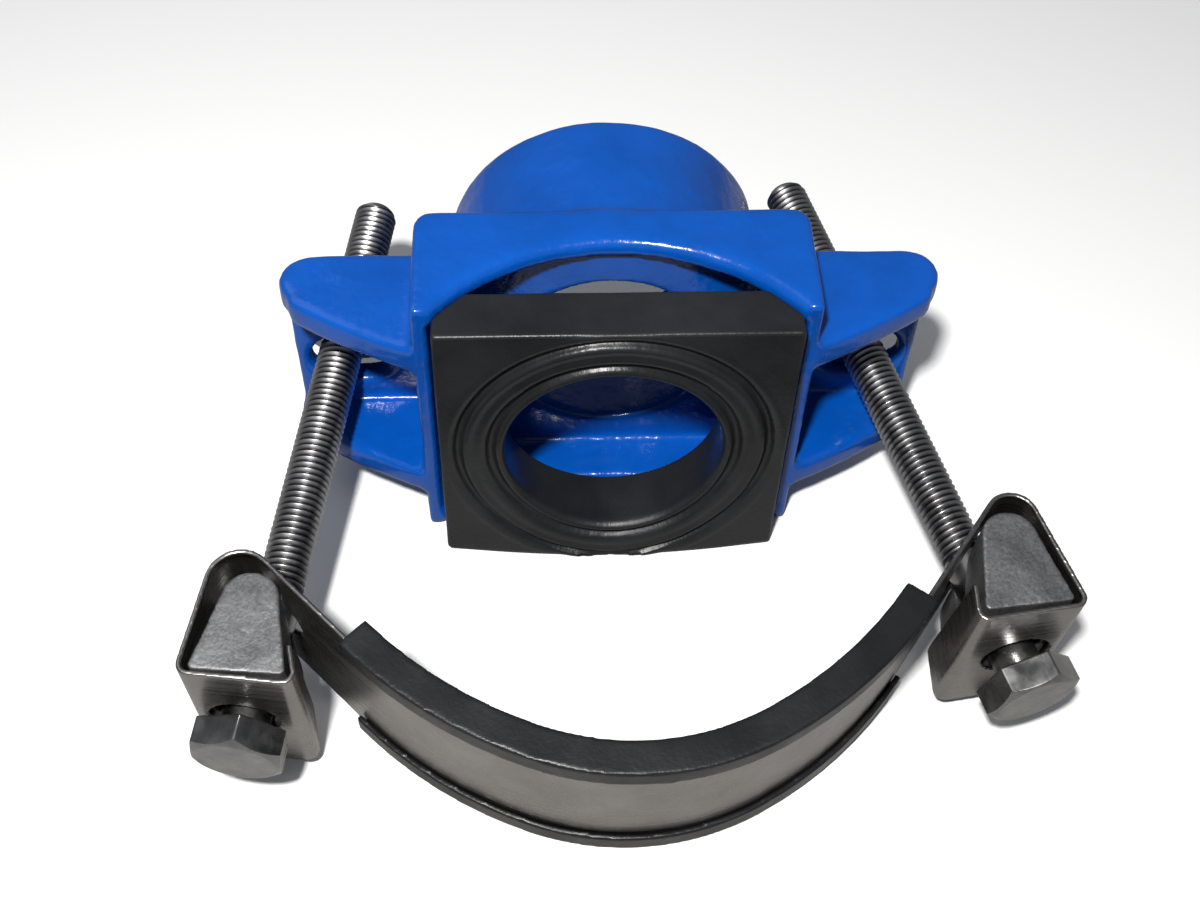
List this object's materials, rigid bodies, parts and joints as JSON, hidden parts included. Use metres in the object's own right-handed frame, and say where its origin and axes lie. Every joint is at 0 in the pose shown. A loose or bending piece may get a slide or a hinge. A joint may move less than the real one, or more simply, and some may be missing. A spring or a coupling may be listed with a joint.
{
  "type": "pipe repair clamp",
  "caption": "Saddle clamp for a pipe: coated casting with slotted ears and a tapped outlet, rubber gasket, and a rubber-lined steel strap drawn up by hex bolts.",
  "frame": {"origin": "on the saddle's lower end face, in the middle of its flat, 63.4 mm behind the axis of the pipe that the clamp goes on", "axes": "+X across the two ears, +Y along the outlet and away from the strap, +Z along the pipe, up from the lower end face"},
  "size_m": [0.2128, 0.1906, 0.087],
  "materials": {
    "blue_epoxy": "glossy epoxy coating over cast iron",
    "gasket_rubber": "satin moulded rubber",
    "liner_rubber": "satin extruded rubber",
    "strap_steel": "rolled stainless strip",
    "block_metal": "grainy cast grey metal with worn edges",
    "bolt_steel": "rolled thread, dull stainless steel",
    "washer_steel": "stamped stainless steel",
    "nut_steel": "dull stainless steel"
  },
  "bodies": {
    "saddle": {"saddle_casting": "blue_epoxy", "saddle_gasket": "gasket_rubber"},
    "strap": {"strap_band": "strap_steel", "strap_liner": "liner_rubber", "left_block": "block_metal", "right_block": "block_metal"},
    "left_bolt": {"left_bolt": "bolt_steel"},
    "right_bolt": {"right_bolt": "bolt_steel"},
    "left_washer": {"left_washer": "washer_steel"},
    "right_washer": {"right_washer": "washer_steel"},
    "left_nut": {"left_nut": "nut_steel"},
    "right_nut": {"right_nut": "nut_steel"}
  },
  "joints": [
    {"name": "strap_draw", "type": "slide", "parent": "saddle", "child": "strap", "axis": [0, 1, 0], "range_m": [-0.01, 0.006]},
    {"name": "left_washer_shift", "type": "slide", "parent": "saddle", "child": "left_washer", "axis": [-0.8292, 0, -0.5589], "range_m": [-0.002, 0.0012]},
    {"name": "left_nut_turn", "type": "hinge", "parent": "left_washer", "child": "left_nut", "pos_m": [-0.07086, 0.01127, 0.04024], "axis": [-0.1585, -0.9816, -0.1068], "range_deg": [-2100, 1262]},
    {"name": "right_washer_shift", "type": "slide", "parent": "saddle", "child": "right_washer", "axis": [0.93, 0, -0.3676], "range_m": [-0.0031, 0.0019]},
    {"name": "right_nut_turn", "type": "hinge", "parent": "right_washer", "child": "right_nut", "pos_m": [0.06684, 0.0126, 0.03952], "axis": [0.2703, -0.9568, -0.1068], "range_deg": [-2155, 1295]},
    {"name": "left_bolt_turn", "type": "hinge", "parent": "strap", "child": "left_bolt", "pos_m": [-0.08961, -0.10486, 0.0276], "axis": [0.1585, 0.9816, 0.1068], "continuous": true},
    {"name": "right_bolt_turn", "type": "hinge", "parent": "strap", "child": "right_bolt", "pos_m": [0.09698, -0.09411, 0.0276], "axis": [-0.2703, 0.9568, 0.1068], "continuous": true}
  ],
  "couplings": [
    {"joint": "left_washer_shift", "follows": "strap_draw", "ratio": 0.19473},
    {"joint": "left_nut_turn", "follows": "strap_draw", "rad_per_m": 3657.8},
    {"joint": "right_washer_shift", "follows": "strap_draw", "ratio": 0.30372},
    {"joint": "right_nut_turn", "follows": "strap_draw", "rad_per_m": 3752.3}
  ]
}
